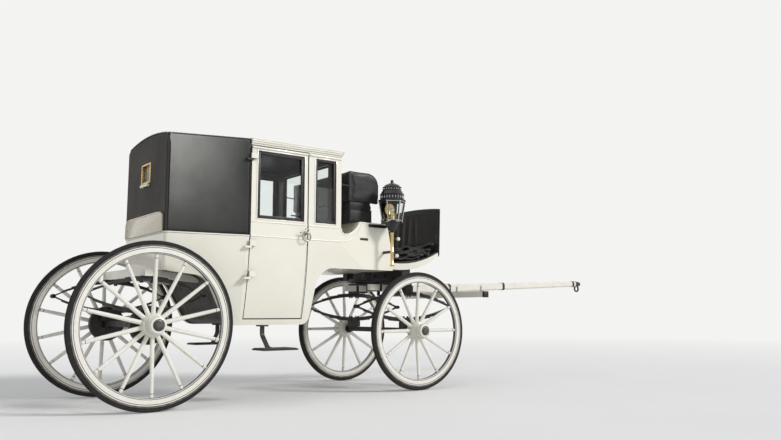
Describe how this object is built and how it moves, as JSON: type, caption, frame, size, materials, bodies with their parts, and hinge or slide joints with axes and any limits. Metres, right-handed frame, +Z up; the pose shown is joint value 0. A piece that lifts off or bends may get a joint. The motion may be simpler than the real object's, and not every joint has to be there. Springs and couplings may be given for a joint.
{
  "type": "four-wheeled horse-drawn coupe carriage",
  "caption": "Closed horse-drawn carriage with a leather head, glazed doors, driving box, spoked wheels on elliptic springs and a steering fore carriage with a pole.",
  "frame": {"origin": "on the ground under the middle of the overall length, wheels and pole included", "axes": "+X forward along the pole, +Y to the carriage's left, +Z up"},
  "size_m": [6.04, 1.524, 2.1118],
  "materials": {
    "body_paint": "gloss cream white coach paint",
    "wheel_paint": "gloss white coach paint with dark lines",
    "tyre_rubber": "worn black solid rubber",
    "head_leather": "black enamelled leather",
    "seat_leather": "black padded leather",
    "interior_cloth": "dark brown buttoned cloth",
    "interior_wood": "dark stained boards",
    "window_glass": "clear plate glass",
    "black_iron": "black painted iron",
    "hub_metal": "dark painted hub caps",
    "brass_fittings": "polished brass",
    "mat_rubber": "ribbed black rubber"
  },
  "bodies": {
    "carriage_body": {"back_panel": "body_paint", "quarter_panels": "body_paint", "rockers": "body_paint", "front_quarters": "body_paint", "floor": "interior_wood", "front_wall": "body_paint", "roof": "head_leather", "cornice": "body_paint", "leather_head": "head_leather", "fixed_glass": "window_glass", "bench": "interior_wood", "seat_cushion": "interior_cloth", "seat_squab": "interior_cloth", "boot": "body_paint", "toe_board": "body_paint", "toe_mat": "mat_rubber", "dash": "head_leather", "box_seat": "seat_leather", "driving_cushion": "seat_leather", "driving_back": "seat_leather", "lamp_frames": "black_iron", "lamp_glass": "window_glass", "steps": "black_iron", "hinge_pins": "black_iron", "rear_axle": "black_iron", "rear_springs": "black_iron", "rear_irons": "body_paint", "upper_turntable": "black_iron", "transom": "body_paint"},
    "fore_carriage": {"lower_turntable": "black_iron", "futchells": "wheel_paint", "splinter_bar": "wheel_paint", "pole": "wheel_paint", "pole_head": "black_iron", "front_axle": "black_iron", "front_springs": "black_iron"},
    "rear_wheel_right_body": {"rear_tyre_right": "tyre_rubber", "rear_wheel_right": "wheel_paint", "rear_hub_cap_right": "hub_metal", "brake_drum_right": "black_iron"},
    "rear_wheel_left_body": {"rear_tyre_left": "tyre_rubber", "rear_wheel_left": "wheel_paint", "rear_hub_cap_left": "hub_metal", "brake_drum_left": "black_iron"},
    "front_wheel_right_body": {"front_tyre_right": "tyre_rubber", "front_wheel_right": "wheel_paint", "front_hub_cap_right": "hub_metal"},
    "front_wheel_left_body": {"front_tyre_left": "tyre_rubber", "front_wheel_left": "wheel_paint", "front_hub_cap_left": "hub_metal"},
    "door_right_body": {"door_right": "body_paint", "door_glass_right": "window_glass", "door_handle_right": "brass_fittings"},
    "door_left_body": {"door_left": "body_paint", "door_glass_left": "window_glass", "door_handle_left": "brass_fittings"}
  },
  "joints": [
    {"name": "steering", "type": "hinge", "parent": "carriage_body", "child": "fore_carriage", "pos_m": [-0.006, 0, 0.98], "axis": [0, 0, 1], "range_deg": [-55, 55]},
    {"name": "rear_wheel_right_turn", "type": "hinge", "parent": "carriage_body", "child": "rear_wheel_right_body", "pos_m": [-2.42, -0.61, 0.6], "axis": [0, 1, 0], "continuous": true},
    {"name": "rear_wheel_left_turn", "type": "hinge", "parent": "carriage_body", "child": "rear_wheel_left_body", "pos_m": [-2.42, 0.61, 0.6], "axis": [0, 1, 0], "continuous": true},
    {"name": "front_wheel_right_turn", "type": "hinge", "parent": "fore_carriage", "child": "front_wheel_right_body", "pos_m": [-0.006, -0.61, 0.525], "axis": [0, 1, 0], "continuous": true},
    {"name": "front_wheel_left_turn", "type": "hinge", "parent": "fore_carriage", "child": "front_wheel_left_body", "pos_m": [-0.006, 0.61, 0.525], "axis": [0, 1, 0], "continuous": true},
    {"name": "door_right_swing", "type": "hinge", "parent": "carriage_body", "child": "door_right_body", "pos_m": [-1.666, -0.565, 1.2], "axis": [0, 0, -1], "range_deg": [0, 85]},
    {"name": "door_left_swing", "type": "hinge", "parent": "carriage_body", "child": "door_left_body", "pos_m": [-1.666, 0.565, 1.2], "axis": [0, 0, 1], "range_deg": [0, 85]}
  ]
}
